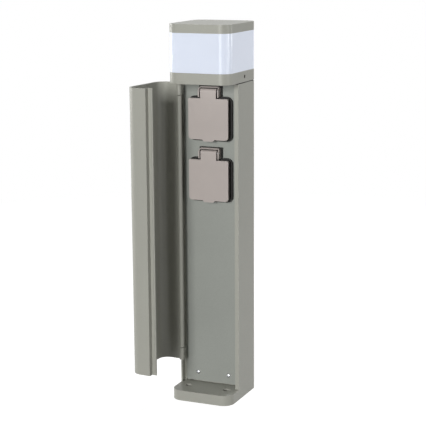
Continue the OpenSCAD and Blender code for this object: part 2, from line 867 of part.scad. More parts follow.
module head_ring() {
  color(lacquer) difference() {
    union() {
      translate([0, 0, ring_z]) linear_extrude(ring_h - head_flange_t) difference() {
        outline(0);
        outline(ring_wall);
      }
      translate([0, 0, flange_z]) linear_extrude(head_flange_t) difference() {
        outline(0);
        rounded(head_opening_w, head_opening_d, corner_r / 2);
      }
      spigot(diffuser_z, diffuser_z + seal_inset);
    }
    each_tie() translate([0, 0, flange_z - cut])
      cylinder(h = head_flange_t + 2 * cut, r = tie_r + screw_hole_play / 2);
    bar_x(-side_x - cut, side_x + cut, grub_y, grub_z, grub_d / 2);
  }
}

module grub_screws() {
  color(steel) for (s = [0, 180]) mirror([s / 180, 0, 0]) difference() {
    bar_x(carrier_w / 2, side_x - grub_sunk, grub_y, grub_z, grub_d / 2);
    translate([side_x - grub_sunk - grub_hex_depth, grub_y, grub_z]) rotate([0, 90, 0])
      cylinder(h = grub_hex_depth + cut, r = grub_hex_r, $fn = 6);
  }
}

// Plate that closes the column and holds the lamp board
module carrier_plate() {
  color(light_grey) difference() {
    union() {
      translate([0, 0, carrier_z]) linear_extrude(carrier_t)
        rounded(carrier_w, carrier_d, carrier_r);
      each_port() translate([0, 0, column_top]) cylinder(h = column_gasket_t + cut, r = port_d / 2);
      for (s = [-1, 1])
        translate([s * (carrier_w - carrier_ear_t) / 2, grub_y, (carrier_z + flange_z) / 2])
          cube([carrier_ear_t, carrier_ear_l, flange_z - carrier_z], center = true);
    }
    each_port() translate([0, 0, column_top - cut])
      cylinder(h = carrier_t + column_gasket_t + 2 * cut, r = port_screw_r + screw_hole_play);
    translate([0, 0, carrier_z - cut]) {
      each_driver_screw() cylinder(h = carrier_t + 2 * cut, r = driver_screw_r);
      each_board_screw() cylinder(h = carrier_t + 2 * cut, r = board_screw_r);
      translate([0, lead_y, 0]) cylinder(h = carrier_t + 2 * cut, r = lead_hole_r);
    }
  }
}

module carrier_screws() {
  color(steel) each_port() translate([0, 0, carrier_top])
    screw_down(port_screw_r, carrier_t + column_gasket_t + port_screw_reach, port_head_r, port_head_h);
}

module led_board() {
  color(board_white) difference() {
    translate([0, 0, carrier_top]) linear_extrude(board_t) rounded(board_w, board_l, 3);
    each_board_screw() translate([0, 0, carrier_top - cut])
      cylinder(h = board_t + 2 * cut, r = board_screw_r);
  }
}

module led_chips() {
  color([0.95, 0.86, 0.45]) for (i = [-1:1], j = [-1.5:1.5])
    translate([i * chip_pitch, j * chip_pitch, carrier_top + board_t + chip_h / 2])
      cube([chip_w, chip_l, chip_h], center = true);
}

module board_screws() {
  color(steel) each_board_screw() translate([0, 0, carrier_top + board_t])
    screw_down(board_screw_r, board_t + carrier_t - cut, board_screw_head_r, small_head_h);
}

// Lamp driver, hung under the carrier plate behind the socket panel
module led_driver() {
  color(board_white) {
    translate([-driver_w / 2, driver_y, driver_z]) cube([driver_w, driver_l, driver_h]);
    difference() {
      translate([0, driver_y + driver_l / 2, carrier_z - driver_ear_t / 2])
        cube([driver_w + 2 * driver_ear, driver_ear_l, driver_ear_t], center = true);
      each_driver_screw() translate([0, 0, carrier_z - driver_ear_t - cut])
        cylinder(h = driver_ear_t + 2 * cut, r = driver_screw_r);
    }
  }
}

module driver_screws() {
  color(steel) each_driver_screw() translate([0, 0, carrier_top])
    screw_down(driver_screw_r, carrier_t + driver_ear_t, driver_screw_head_r, small_head_h);
}

module led_leads() {
  back = driver_y + driver_l;
  color(rubber_black) for (x = [-1, 1])
    wire([[x, back, driver_z + 10], [x, back + 1.5, driver_z + 10], [x, lead_y, carrier_z - 4],
      [x, lead_y, carrier_top], [x, lead_y - 2, carrier_top + 4], [x, board_l / 2 + 1, carrier_top + 3.5],
      [x, board_l / 2 - 2, carrier_top + board_t + lead_r]], lead_r);
}

module lower_seal() {
  seal(diffuser_z + seal_inset);
}

module upper_seal() {
  seal(cap_z - seal_inset - seal_h);
}

module diffuser() {
  color(opal) translate([0, 0, diffuser_z]) linear_extrude(diffuser_h) difference() {
    outline(0);
    outline(diffuser_wall);
  }
}

module top_cap() {
  hollow = diffuser_wall + spigot_fit + spigot_wall;
  boss_z = cap_z - spigot_h;
  color(lacquer) difference() {
    union() {
      difference() {
        translate([0, 0, cap_z]) linear_extrude(cap_h) outline(0);
        translate([0, 0, cap_z - cut]) linear_extrude(cap_h - cap_skin + cut) outline(hollow);
      }
      spigot(boss_z, cap_z - seal_inset - seal_h);
      each_tie() translate([0, 0, boss_z]) cylinder(h = cap_h + spigot_h - cap_skin / 2, r = cap_boss_r);
    }
    each_tie() translate([0, 0, boss_z - cut])
      cylinder(h = cap_h + spigot_h - cap_skin - cap_hole_tip + cut, r = tie_r);
  }
}

// Long screws from the ring's flange up into the cap
module tie_screws() {
  color(steel) each_tie() translate([0, 0, flange_z])
    screw_up(tie_r, post_h - cap_skin - tie_tip - flange_z, tie_head_r, tie_head_h);
}

// Puts what is drawn at the origin onto the panel: 0 is the upper socket, 1 the lower one
module place(i) {
  translate([0, panel_y, socket_z[i]]) children();
}

// Flange outline, with the tongue behind the hinge hood
module flange_plan(inset) {
  rounded(flange_w - 2 * inset, flange_h - 2 * inset, flange_r);
  translate([-backing_hw + inset, 0]) square([2 * (backing_hw - inset), backing_top - inset]);
}

module socket_gasket(i) {
  color(rubber_black) place(i) upright(-socket_gasket_t, socket_gasket_t) difference() {
    flange_plan(0.5);
    circle(panel_hole_r);
    each_socket_screw() circle(socket_screw_r);
  }
}

module each_socket_screw() {
  for (sx = [-1, 1], sz = [-1, 1]) translate([sx * socket_screw_x, sz * socket_screw_z]) children();
}

// Black moulding: the flange on the panel, and the collar under the lid
module socket_frame(i) {
  color(socket_black) place(i) difference() {
    union() {
      upright(flange_y, flange_t) flange_plan(0);
      upright(collar_y, flange_y - collar_y + cut) rounded(collar_w, collar_h, collar_r);
    }
    bar_y(0, collar_y - cut, cut, 0, pot_r);
    upright(collar_y - cut, -collar_y + 2 * cut) each_socket_screw() circle(socket_screw_r);
    upright(collar_y - cut, socket_screw_sunk + cut)
      each_socket_screw() circle(socket_screw_head_r + socket_screw_play);
  }
}

module socket_screws(i) {
  color(steel) place(i) for (sx = [-1, 1], sz = [-1, 1])
    translate([sx * socket_screw_x, collar_y + socket_screw_sunk, sz * socket_screw_z])
      rotate([90, 0, 0])
        screw_down(socket_screw_r, panel_t - collar_y - 1, socket_screw_head_r, pan_head_h);
}

// Round pot for the plug, with the shutter's chamber and the contact housing behind it
module socket_insert(i) {
  chamber_x0 = -shutter_hw - shutter_fit;
  color(socket_black) place(i) difference() {
    union() {
      bar_y(0, collar_y, pot_back_y, 0, pot_r);
      bar_y(0, pot_back_y - cut, housing_y, 0, drum_r);
      upright(housing_y - cut, housing_l + cut) rounded(housing_w, housing_h, housing_r);
    }
    bar_y(0, collar_y - cut, pot_floor_y, 0, recess_r);
    for (s = [-1, 1]) {
      bar_y(s * pin_spacing / 2, pot_floor_y - cut, pot_back_y + cut, 0, pin_hole_d / 2);
      bar_y(s * pin_spacing / 2, pot_back_y + cut, housing_y + housing_l - housing_end, 0, sleeve_r);
      translate([-clip_w / 2, collar_y + clip_setback, s > 0 ? clip_z : -clip_z - clip_t])
        cube([clip_w, pot_back_y - collar_y, clip_t]);
      translate([-clip_w / 2, collar_y + clip_setback, s > 0 ? clip_z - clip_window : -clip_z])
        cube([clip_w, recess_depth - clip_setback, clip_window]);
    }
    translate([chamber_x0, pot_back_y, -shutter_hh - shutter_fit])
      cube([chamber_end_x - chamber_x0, shutter_space, 2 * (shutter_hh + shutter_fit)]);
  }
}

// Slide that covers both pin holes until a plug pushes it aside
module socket_shutter(i) {
  color([0.85, 0.83, 0.78]) place(i) upright(pot_back_y + shutter_fit, shutter_t) difference() {
    square([2 * shutter_hw, 2 * shutter_hh], center = true);
    translate([pin_spacing / 2 - shutter_travel, 0]) circle(shutter_hole_r);
    translate([shutter_spring_x, -shutter_spring_r - shutter_fit])
      square([shutter_hw, 2 * (shutter_spring_r + shutter_fit)]);
  }
}

module shutter_spring(i) {
  y = pot_back_y + shutter_space / 2;
  color(steel) place(i) difference() {
    bar_x(shutter_spring_x, chamber_end_x, y, 0, shutter_spring_r);
    bar_x(shutter_spring_x - cut, chamber_end_x + cut, y, 0, shutter_spring_r - shutter_spring_wall);
  }
}

// Two pin sleeves and the two earth clips
module socket_contacts(i) {
  sleeve_y = housing_y + housing_l - housing_end - sleeve_l;
  color(brass) place(i) for (s = [-1, 1]) {
    difference() {
      bar_y(s * pin_spacing / 2, sleeve_y, sleeve_y + sleeve_l, 0, sleeve_r);
      bar_y(s * pin_spacing / 2, sleeve_y - cut, sleeve_y + sleeve_l - sleeve_end, 0,
            sleeve_r - sleeve_wall);
    }
    translate([-clip_w / 2, collar_y + clip_setback, s > 0 ? clip_z : -clip_z - clip_t])
      cube([clip_w, pot_back_y - collar_y, clip_t]);
  }
}

// Outline of the hood round the lid's hinge tab
module hood_plan(hw, top, chamfer) {
  polygon([[-hw, hood_bottom], [-hw, top - chamfer], [-hw + chamfer, top],
    [hw - chamfer, top], [hw, top - chamfer], [hw, hood_bottom]]);
}

module socket_hood(i) {
  color(taupe) place(i) difference() {
    upright(hood_front_y, flange_y - hood_front_y) difference() {
      hood_plan(hood_hw, hood_top, hood_chamfer);
      translate([0, -cut]) hood_plan(hood_in_hw, hood_in_top + cut, hood_in_chamfer);
    }
    translate([-hood_hw - cut, hood_front_y, hood_top]) rotate([90, 0, 90])
      linear_extrude(2 * (hood_hw + cut)) polygon([[-cut, -hood_slope_h], [0, -hood_slope_h],
        [hood_slope, 0], [hood_slope, cut], [-cut, cut]]);
    bar_x(-hood_hw - cut, hood_hw + cut, lid_pin_y, lid_pin_z, lid_pin_r);
  }
}

module lid_pin(i) {
  color(steel) place(i) bar_x(-hood_hw, hood_hw, lid_pin_y, lid_pin_z, lid_pin_r);
}

// Closing spring on the lid's pin, with one leg back to the flange
module lid_spring(i) {
  leg_z = lid_pin_z - (spring_in_r + spring_out_r) / 2;
  color(steel) place(i) {
    difference() {
      bar_x(-spring_hw, spring_hw, lid_pin_y, lid_pin_z, spring_out_r);
      bar_x(-spring_hw - cut, spring_hw + cut, lid_pin_y, lid_pin_z, spring_in_r);
    }
    bar_y(spring_hw - spring_leg_r, lid_pin_y, flange_y, leg_z, spring_leg_r);
  }
}

// Lid outline: small radii above, larger ones below
module lid_plan(inset) {
  w = lid_w - 2 * inset;
  h = lid_h - 2 * inset;
  intersection() {
    rounded(w, h, lid_top_r);
    translate([-w, 0]) square([2 * w, h]);
  }
  intersection() {
    rounded(w, h, lid_low_r);
    translate([-w, -h]) square([2 * w, h + 0.01]);
  }
}

module socket_lid(i) {
  color(taupe) place(i) difference() {
    union() {
      difference() {
        upright(-lid_front, lid_depth) lid_plan(0);
        upright(-lid_front + lid_wall, lid_depth) lid_plan(lid_wall);
      }
      translate([-tab_w / 2, -lid_front, lid_h / 2 - cut])
        cube([tab_w, tab_t, hinge_rise + cut]);
      bar_x(-tab_w / 2, tab_w / 2, lid_pin_y, lid_pin_z, tab_r);
      translate([0, 0, -lid_h / 2]) upright(-lid_front, tab_t) polygon([[-thumb_w / 2, 0],
        [-thumb_w / 2, cut], [thumb_w / 2, cut], [thumb_w / 2, 0],
        [thumb_w / 2 - thumb_slope, -thumb_h], [thumb_slope - thumb_w / 2, -thumb_h]]);
    }
    bar_x(-tab_w, tab_w, lid_pin_y, lid_pin_z, lid_pin_r + pin_running_fit);
    translate([-spring_gap_w, lid_pin_y, lid_pin_z - tab_r - cut])
      cube([2 * spring_gap_w, tab_r + cut, 2 * tab_r + 2 * cut]);
    bar_x(-spring_gap_w, spring_gap_w, lid_pin_y, lid_pin_z, spring_pocket_r);
  }
}

module lid_seal(i) {
  color(rubber_black) place(i) upright(-lid_front + lid_wall, lid_seal_t) difference() {
    rounded(collar_w - 2 * lid_seal_inset, collar_h - 2 * lid_seal_inset, collar_r);
    rounded(collar_w - 2 * (lid_seal_inset + lid_seal_w), collar_h - 2 * (lid_seal_inset + lid_seal_w),
            collar_r - lid_seal_w);
  }
}

base_plate();
cable_grommet();
base_screws();
column();
column_gasket();
socket_panel();
panel_screws();
panel_bracket();
bracket_screws();
terminal_block();
terminal_screws();
earth_terminal();
live_wires();
neutral_wires();
earth_wires();
top_knuckle();
bottom_knuckle();
knuckle_screws();
hinge_pins();
door();
head_ring();
grub_screws();
carrier_plate();
carrier_screws();
led_board();
led_chips();
board_screws();
led_driver();
driver_screws();
led_leads();
lower_seal();
diffuser();
upper_seal();
top_cap();
tie_screws();
socket_gasket(0);  // upper_gasket
socket_frame(0);  // upper_frame
socket_insert(0);  // upper_insert
socket_shutter(0);  // upper_shutter
shutter_spring(0);  // upper_shutter_spring
socket_contacts(0);  // upper_contacts
socket_hood(0);  // upper_hood
lid_pin(0);  // upper_lid_pin
lid_spring(0);  // upper_lid_spring
socket_lid(0);  // upper_lid
lid_seal(0);  // upper_lid_seal
socket_screws(0);  // upper_screws
socket_gasket(1);  // lower_gasket
socket_frame(1);  // lower_frame
socket_insert(1);  // lower_insert
socket_shutter(1);  // lower_shutter
shutter_spring(1);  // lower_shutter_spring
socket_contacts(1);  // lower_contacts
socket_hood(1);  // lower_hood
lid_pin(1);  // lower_lid_pin
lid_spring(1);  // lower_lid_spring
socket_lid(1);  // lower_lid
lid_seal(1);  // lower_lid_seal
socket_screws(1);  // lower_screws
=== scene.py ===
"""Garden lamp post with sockets: finished surfaces, springs and screws, studio and camera."""
import json
import math
from collections import namedtuple

import bmesh
import bpy
from mathutils import Matrix, Vector


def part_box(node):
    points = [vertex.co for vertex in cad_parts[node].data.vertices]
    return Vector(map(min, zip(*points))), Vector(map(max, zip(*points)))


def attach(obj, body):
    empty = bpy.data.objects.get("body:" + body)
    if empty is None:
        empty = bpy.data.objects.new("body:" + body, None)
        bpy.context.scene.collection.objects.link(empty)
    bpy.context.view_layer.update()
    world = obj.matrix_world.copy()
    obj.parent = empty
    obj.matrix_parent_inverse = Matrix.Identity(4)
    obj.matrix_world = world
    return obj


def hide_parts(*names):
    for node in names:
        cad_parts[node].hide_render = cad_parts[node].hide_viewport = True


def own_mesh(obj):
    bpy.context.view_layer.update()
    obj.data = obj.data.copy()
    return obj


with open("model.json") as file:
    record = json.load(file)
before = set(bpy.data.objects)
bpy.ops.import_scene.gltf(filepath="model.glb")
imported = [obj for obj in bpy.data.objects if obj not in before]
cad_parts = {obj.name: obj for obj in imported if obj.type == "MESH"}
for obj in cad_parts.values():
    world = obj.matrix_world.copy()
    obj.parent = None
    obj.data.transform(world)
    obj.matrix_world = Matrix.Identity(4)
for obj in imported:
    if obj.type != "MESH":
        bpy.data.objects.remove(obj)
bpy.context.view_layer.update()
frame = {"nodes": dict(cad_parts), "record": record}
NODES = frame["nodes"]
SLOTS = {s["node"]: s["material_slot"] for s in frame["record"]["subparts"]}
BODIES = {node: body for body, nodes in frame["record"]["behaviour"]["bodies"].items() for node in nodes}
MM = 0.001
WELD = 0.002 * MM
SOCKETS = ("upper", "lower")


# Colour and node helpers

def screen(red, green, blue):
    """A colour as it looks on screen, 0 to 255, turned into the linear values that nodes take."""
    def linear(value):
        value /= 255
        return value / 12.92 if value <= 0.04045 else ((value + 0.055) / 1.055) ** 2.4
    return linear(red), linear(green), linear(blue), 1.0


def shade(colour, factor):
    """A colour made lighter or darker by a factor."""
    return tuple(min(1.0, c * factor) for c in colour[:3]) + (1.0,)


class Finish:
    """A material under construction: the principled shader, and short calls that add nodes to it."""

    def __init__(self, name, roughness=0.5, metallic=0.0):
        self.material = bpy.data.materials.new(name)
        self.material.use_nodes = True
        self.tree = self.material.node_tree
        self.shader = self.tree.nodes["Principled BSDF"]
        self.shader.inputs["Roughness"].default_value = roughness
        self.shader.inputs["Metallic"].default_value = metallic
        self.place = self.add("ShaderNodeTexCoord").outputs["Object"]

    def add(self, kind, inputs=None, **settings):
        """A new node. Each of its inputs is set to a number or joined to another node's output."""
        node = self.tree.nodes.new(kind)
        for key, value in settings.items():
            setattr(node, key, value)
        for key, value in (inputs or {}).items():
            if isinstance(value, bpy.types.NodeSocket):
                self.tree.links.new(value, node.inputs[key])
            else:
                node.inputs[key].default_value = value
        return node

    def noise(self, size_mm, detail=2.0, stretch=(1, 1, 1)):
        """Noise whose features are about size_mm across, stretched along the axes."""
        scaled = self.add("ShaderNodeMapping", {0: self.place, "Scale": stretch})
        return self.add("ShaderNodeTexNoise", {"Vector": scaled.outputs[0], "Scale": 1 / (size_mm * MM),
                                               "Detail": detail}).outputs["Fac"]

    def spread(self, value, low, high, start=0.3, end=0.7):
        """A value from 0 to 1 spread over low to high."""
        return self.add("ShaderNodeMapRange", {"Value": value, "From Min": start, "From Max": end,
                                               "To Min": low, "To Max": high}).outputs[0]

    def times(self, a, b):
        return self.add("ShaderNodeMath", {0: a, 1: b}, operation="MULTIPLY").outputs[0]

    def mix(self, factor, a, b, blend_type="MIX"):
        node = self.add("ShaderNodeMix", data_type="RGBA", blend_type=blend_type)
        for key, value in (("Factor", factor), ("A", a), ("B", b)):
            socket = next(s for s in node.inputs if s.name == key and s.enabled)
            if isinstance(value, bpy.types.NodeSocket):
                self.tree.links.new(value, socket)
            else:
                socket.default_value = value
        return next(s for s in node.outputs if s.enabled)

    def edges(self, radius_mm):
        """About 1 along sharp edges and 0 on flat faces."""
        rounded = self.add("ShaderNodeBevel", {"Radius": radius_mm * MM}, samples=4).outputs[0]
        flat = self.add("ShaderNodeNewGeometry").outputs["Normal"]
        compared = self.add("ShaderNodeVectorMath", {0: rounded, 1: flat}, operation="DOT_PRODUCT")
        return self.spread(compared.outputs["Value"], 1.0, 0.0, start=0.86, end=0.995)

    def set(self, name, value):
        if isinstance(value, bpy.types.NodeSocket):
            self.tree.links.new(value, self.shader.inputs[name])
        else:
            self.shader.inputs[name].default_value = value

    def bump(self, height, depth_mm, strength=1.0):
        node = self.add("ShaderNodeBump", {"Height": height, "Distance": depth_mm * MM,
                                           "Strength": strength})
        self.tree.links.new(node.outputs[0], self.shader.inputs["Normal"])


def powder_coat(name, colour, roughness, coat, specular=0.35, metallic=0.08):
    """Fine-textured metallic powder coat: flakes, orange peel, slow drifts of tone, and paler patchy edges
    that are partly wear and partly a painted highlight.
    """
    finish = Finish(name, metallic=metallic)
    finish.set("Specular IOR Level", specular)
    finish.set("Coat Weight", coat)
    finish.set("Coat Roughness", 0.16)
    flakes = finish.noise(0.35, detail=1.0)
    drift = finish.noise(70.0, detail=3.0)
    tone = finish.times(finish.spread(flakes, 0.93, 1.07), finish.spread(drift, 0.975, 1.025))
    base = finish.mix(1.0, colour, tone, blend_type="MULTIPLY")
    # Paler edges, patchy by noise: partly wear, partly a painted highlight where the rounded edges catch
    # the light
    wear_and_highlight = finish.times(finish.edges(0.7), finish.spread(finish.noise(6.0), 0.15, 0.6))
    finish.set("Base Color", finish.mix(wear_and_highlight, base, shade(colour, 1.35)))
    finish.set("Roughness", finish.spread(finish.noise(0.8), roughness - 0.05, roughness + 0.05))
    finish.bump(finish.noise(0.6, detail=2.5), 0.02, strength=0.35)
    return finish.material


def moulded(name, colour, roughness, grain_mm=0.45, depth_mm=0.015, drift=0.03, specular=0.5):
    """Moulded plastic or rubber with a fine eroded grain, and edges made paler as a painted highlight."""
    finish = Finish(name)
    finish.set("Specular IOR Level", specular)
    tone = finish.spread(finish.noise(25.0, detail=4.0), 1 - drift, 1 + drift)
    base = finish.mix(1.0, colour, tone, blend_type="MULTIPLY")
    # Paler edges: a painted highlight where the rounded edges catch the light
    finish.set("Base Color", finish.mix(finish.times(finish.edges(0.5), 0.35), base, shade(colour, 1.3)))
    finish.set("Roughness", finish.spread(finish.noise(3.0), roughness - 0.06, roughness + 0.06))
    finish.bump(finish.noise(grain_mm, detail=3.0), depth_mm, strength=0.4)
    return finish.material


def plated(name, colour, roughness, patch_mm=1.5):
    """Bare or plated metal with soft patches and fine scratches round it."""
    finish = Finish(name, metallic=1.0)
    tone = finish.spread(finish.noise(patch_mm, detail=3.0), 0.85, 1.1)
    finish.set("Base Color", finish.mix(1.0, colour, tone, blend_type="MULTIPLY"))
    scratches = finish.noise(0.5, detail=4.0, stretch=(1, 1, 8))
    finish.set("Roughness", finish.spread(scratches, roughness - 0.08, roughness + 0.12))
    finish.bump(scratches, 0.01, strength=0.25)
    return finish.material


def opal_plastic():
    """Milky acrylic: light goes a little way in, the surface stays smooth and glossy, and a weak painted
    glow stands in for light coming through the walls.
    """
    finish = Finish("opal_plastic")
    colour = screen(188, 194, 205)
    tone = finish.spread(finish.noise(40.0, detail=2.0), 0.985, 1.015)
    finish.set("Base Color", finish.mix(1.0, colour, tone, blend_type="MULTIPLY"))
    finish.set("Roughness", finish.spread(finish.noise(12.0), 0.1, 0.15))
    # Painted glow: a weak emission that stands in for light shining through the milky walls
    finish.set("Emission Color", screen(232, 239, 255))
    finish.set("Emission Strength", 0.36)
    finish.set("Subsurface Weight", 0.4)
    finish.set("Subsurface Radius", (0.006, 0.006, 0.006))
    finish.set("Subsurface Scale", 1.0)
    finish.bump(finish.noise(18.0, detail=1.0), 0.05, strength=0.08)
    return finish.material


def solder_mask():
    """White lamp board with faint copper tracks under the mask."""
    finish = Finish("solder_mask", roughness=0.35)
    tracks = finish.add("ShaderNodeTexBrick", {"Vector": finish.place, "Scale": 105.0, "Mortar Size": 0.03,
                                               "Color1": (0, 0, 0, 1), "Color2": (0, 0, 0, 1),
                                               "Mortar": (1, 1, 1, 1)}).outputs["Fac"]
    speckle = finish.spread(finish.noise(4.0), 0.97, 1.03)
    base = finish.mix(tracks, screen(236, 238, 234), screen(214, 218, 208))
    finish.set("Base Color", finish.mix(1.0, base, speckle, blend_type="MULTIPLY"))
    finish.bump(tracks, 0.03, strength=0.5)
    return finish.material


def phosphor():
    """Yellow resin of a light-emitting chip."""
    finish = Finish("phosphor", roughness=0.25)
    grain = finish.noise(0.3, detail=3.0)
    finish.set("Base Color", finish.mix(grain, screen(236, 206, 96), screen(250, 226, 130)))
    finish.bump(grain, 0.02, strength=0.3)
    return finish.material


def insulation(name, colour, stripe=None):
    """Wire insulation, glossy, with a second colour in bands where the wire has one."""
    finish = Finish(name, roughness=0.35)
    tone = finish.spread(finish.noise(5.0), 0.9, 1.1)
    base = finish.mix(1.0, colour, tone, blend_type="MULTIPLY")
    if stripe:
        wave = finish.add("ShaderNodeTexWave", {"Vector": finish.place, "Scale": 160.0, "Distortion": 0.4},
                          bands_direction="DIAGONAL").outputs["Fac"]
        band = finish.spread(wave, 0.0, 1.0, start=0.55, end=0.65)
        base = finish.mix(band, base, stripe)
    finish.set("Base Color", base)
    finish.bump(finish.noise(0.8), 0.02, strength=0.2)
    return finish.material


# Painted, moulded and wire colours are as seen on screen. Metals are given by their linear reflectance.
MATERIALS = {
    "lacquer": powder_coat("lacquer_coat", screen(162, 162, 153), 0.5, coat=0.2, specular=0.3),
    "panel_lacquer": powder_coat("panel_coat", screen(148, 151, 145), 0.55, coat=0.08),
    "taupe_plastic": moulded("taupe_plastic", screen(177, 168, 163), 0.48),
    "black_plastic": moulded("black_plastic", screen(24, 22, 20), 0.45, specular=0.3),
    "pale_plastic": moulded("pale_plastic", screen(206, 204, 196), 0.45),
    "opal": opal_plastic(),
    "rubber": moulded("black_rubber", screen(34, 34, 34), 0.75, grain_mm=0.8, depth_mm=0.03),
    "steel": plated("zinc_plate", (0.66, 0.67, 0.69, 1), 0.32),
    "dark_steel": plated("blackened_steel", (0.035, 0.034, 0.033, 1), 0.45),
    "brass": plated("plain_brass", (0.78, 0.58, 0.27, 1), 0.3),
    "cast_aluminium": plated("cast_aluminium", (0.74, 0.75, 0.76, 1), 0.5, patch_mm=3.0),
    "board": solder_mask(),
    "led": phosphor(),
    "brown_wire": insulation("brown_insulation", screen(96, 58, 34)),
    "blue_wire": insulation("blue_insulation", screen(46, 92, 168)),
    "green_wire": insulation("green_insulation", screen(70, 132, 52), stripe=screen(222, 204, 70)),
    "black_wire": insulation("black_insulation", screen(36, 36, 38)),
}


# Surfaces: CAD solids with their edges rounded

def join_flats(mesh):
    """Welds the loose corners of an imported mesh and joins the triangles of each flat face."""
    mesh.validate()
    bm = bmesh.new()
    bm.from_mesh(mesh)
    bmesh.ops.remove_doubles(bm, verts=bm.verts, dist=WELD)
    bmesh.ops.dissolve_limit(bm, angle_limit=math.radians(0.6), use_dissolve_boundaries=False,
                             verts=bm.verts, edges=bm.edges)
    bm.normal_update()
    return bm


def round_edges(bm, width_mm, least_angle=35.0, least_length=1.5):
    """Rounds the sharp edges that are long enough for it: least_length is a multiple of the width."""
    sharp = []
    for edge in bm.edges:
        if len(edge.link_faces) != 2 or edge.calc_length() < least_length * width_mm * MM:
            continue
        if edge.calc_face_angle(0.0) > math.radians(least_angle):
            sharp.append(edge)
    if sharp:
        bmesh.ops.bevel(bm, geom=sharp, offset=width_mm * MM, offset_type="OFFSET", segments=3, profile=0.5,
                        affect="EDGES", clamp_overlap=True, loop_slide=True)


def paint(obj, slot):
    """Gives the piece one material and no other."""
    obj.data.materials.clear()
    obj.data.materials.append(MATERIALS[slot])


def settle(obj, node):
    """Puts a finished piece on its body, with its material, in place of a CAD node."""
    paint(obj, SLOTS[node])
    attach(obj, BODIES[node])
    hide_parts(node)
    return obj


def link(name, mesh):
    """A new object that shows the mesh."""
    obj = bpy.data.objects.new(name, mesh)
    bpy.context.scene.collection.objects.link(obj)
    return obj


def smooth(mesh, angle):
    """Smooth shading with sharp edges where faces meet at more than the angle."""
    mesh.shade_smooth()
    mesh.set_sharp_from_angle(angle=math.radians(angle))


def rounded_copy(node, width_mm):
    """A piece with the CAD node's own shape and rounded edges."""
    bm = join_flats(NODES[node].data.copy())
    round_edges(bm, width_mm)
    mesh = bpy.data.meshes.new(node + "_finished")
    bm.to_mesh(mesh)
    bm.free()
    smooth(mesh, 40.0)
    obj = link(node + "_finished", mesh)
    weighted = obj.modifiers.new("weighted_normals", "WEIGHTED_NORMAL")
    weighted.keep_sharp = True
    return settle(obj, node)


# Width of the rounded edges in mm
ROUNDED = {
    "base_plate": 0.35, "column": 0.15, "socket_panel": 0.2, "door": 0.3, "head_ring": 0.5, "diffuser": 0.4,
    "top_cap": 0.7, "top_knuckle": 0.2, "bottom_knuckle": 0.2, "cable_grommet": 0.4, "panel_bracket": 0.3,
    "terminal_block": 0.5, "carrier_plate": 0.3, "led_driver": 0.6, "led_board": 0.15,
}
for key in SOCKETS:
    ROUNDED.update({key + "_frame": 0.7, key + "_hood": 0.35, key + "_lid": 0.7, key + "_insert": 0.3,
                    key + "_gasket": 0.2, key + "_shutter": 0.2})
for node, width in ROUNDED.items():
    rounded_copy(node, width)


# Fasteners

def islands(node):
    """The lowest and highest corners of each separate solid in a node."""
    bm = bmesh.new()
    bm.from_mesh(NODES[node].data)
    bmesh.ops.remove_doubles(bm, verts=bm.verts, dist=WELD)
    waiting = set(bm.verts)
    found = []
    while waiting:
        stack = [waiting.pop()]
        corners = []
        while stack:
            vert = stack.pop()
            corners.append(vert.co.copy())
            for edge in vert.link_edges:
                other = edge.other_vert(vert)
                if other in waiting:
                    waiting.remove(other)
                    stack.append(other)
        found.append(tuple(Vector(pick(c[i] for c in corners) for i in range(3)) for pick in (min, max)))
    bm.free()
    return sorted(found, key=lambda box: tuple(round(v, 6) for v in box[0]))


def lathe(bm, profile, sides):
    """Turns a profile of (radius, height) points round Z. A radius may be a function of the angle."""
    rings = []
    for radius, height in profile:
        if radius == 0:
            rings.append([bm.verts.new((0, 0, height))])
            continue
        ring = []
        for k in range(sides):
            a = 2 * math.pi * k / sides
            r = radius(a) if callable(radius) else radius
            ring.append(bm.verts.new((r * math.cos(a), r * math.sin(a), height)))
        rings.append(ring)
    for low, high in zip(rings, rings[1:]):
        for k in range(sides):
            j = (k + 1) % sides
            # A ring of one point, at an end, gives triangles
            corners = [low[k % len(low)], low[j % len(low)], high[j % len(high)], high[k % len(high)]]
            bm.faces.new(list(dict.fromkeys(corners)))


def cut_by(mesh, cutter_bm):
    """The mesh with the cutter's shape taken out of it."""
    cutter_mesh = bpy.data.meshes.new("cutter")
    cutter_bm.to_mesh(cutter_mesh)
    cutter_bm.free()
    cutter = link("cutter", cutter_mesh)
    obj = link("cut", mesh)
    boolean = obj.modifiers.new("cut", "BOOLEAN")
    boolean.operation = "DIFFERENCE"
    boolean.solver = "EXACT"
    boolean.use_self = True
    boolean.object = cutter
    result = bpy.data.meshes.new_from_object(obj.evaluated_get(bpy.context.evaluated_depsgraph_get()))
    bpy.data.objects.remove(obj)
    bpy.data.objects.remove(cutter)
    return result


def cross_cutter(width, arm, depth):
    """Two crossed wedges that narrow downwards, for a recess whose mouth is at height 0."""
    bm = bmesh.new()
    for turn in (0, 90):
        made = bmesh.ops.create_cube(bm, size=2.0)["verts"]
        for v in made:
            down = v.co.z < 0
            v.co.x *= arm * (0.55 if down else 1.0)
            v.co.y *= width / 2 * (0.7 if down else 1.0)
            v.co.z = -depth if down else depth
        bmesh.ops.rotate(bm, verts=made, cent=(0, 0, 0), matrix=Matrix.Rotation(math.radians(turn), 3, "Z"))
    return bm


def hex_cutter(radius, depth):
    """A hexagonal prism for a socket whose mouth is at height 0."""
    bm = bmesh.new()
    bmesh.ops.create_cone(bm, cap_ends=True, segments=6, radius1=radius, radius2=radius, depth=depth)
    return bm


# Sizes in mm. towards is the way the head faces, and drive is the shape of its recess.
Screw = namedtuple("Screw", "towards shank_r head_r head_h drive pitch")
SCREW_SIDES = 24
THREAD_STEPS = 4
DOME_STEPS = 7


def thread_radius(screw, depth, turn):
    """The shank's radius at one height of the thread, as a function of the angle."""
    def radius(angle):
        wave = abs(2 * ((turn - angle / (2 * math.pi)) % 1.0) - 1)
        return (screw.shank_r - depth + 2 * depth * wave) * MM
    return radius


